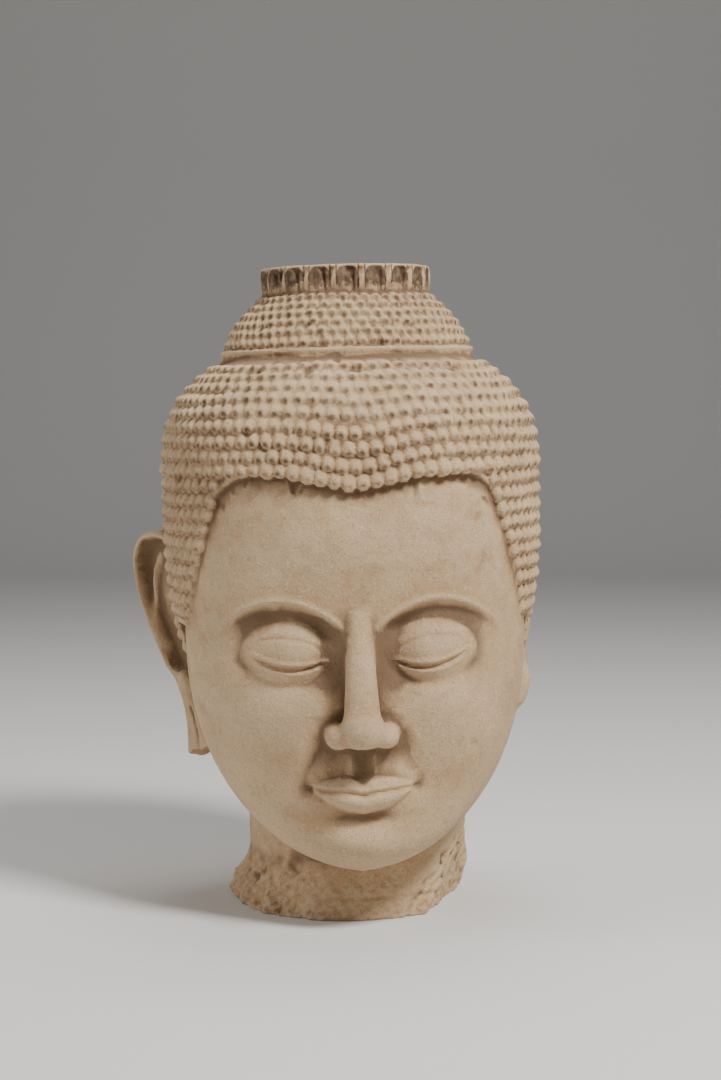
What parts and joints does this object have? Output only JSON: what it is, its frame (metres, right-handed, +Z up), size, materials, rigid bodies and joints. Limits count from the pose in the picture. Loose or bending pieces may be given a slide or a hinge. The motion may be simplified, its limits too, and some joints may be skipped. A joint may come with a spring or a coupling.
{
  "type": "stone buddha head",
  "caption": "Carved sandstone Buddha head with snail-shell curls, lotus collar on the crown, long left ear and broken neck, standing on its level underside.",
  "frame": {"origin": "middle of the level underside of the broken neck", "axes": "+Z up the head, -Y out of the face, +X to the viewer's right"},
  "size_m": [0.324, 0.3236, 0.5014],
  "materials": {
    "sandstone": "dry, worn, finely grained sandstone with brown patina"
  },
  "bodies": {
    "root": {"buddha_head": "sandstone"}
  },
  "joints": []
}
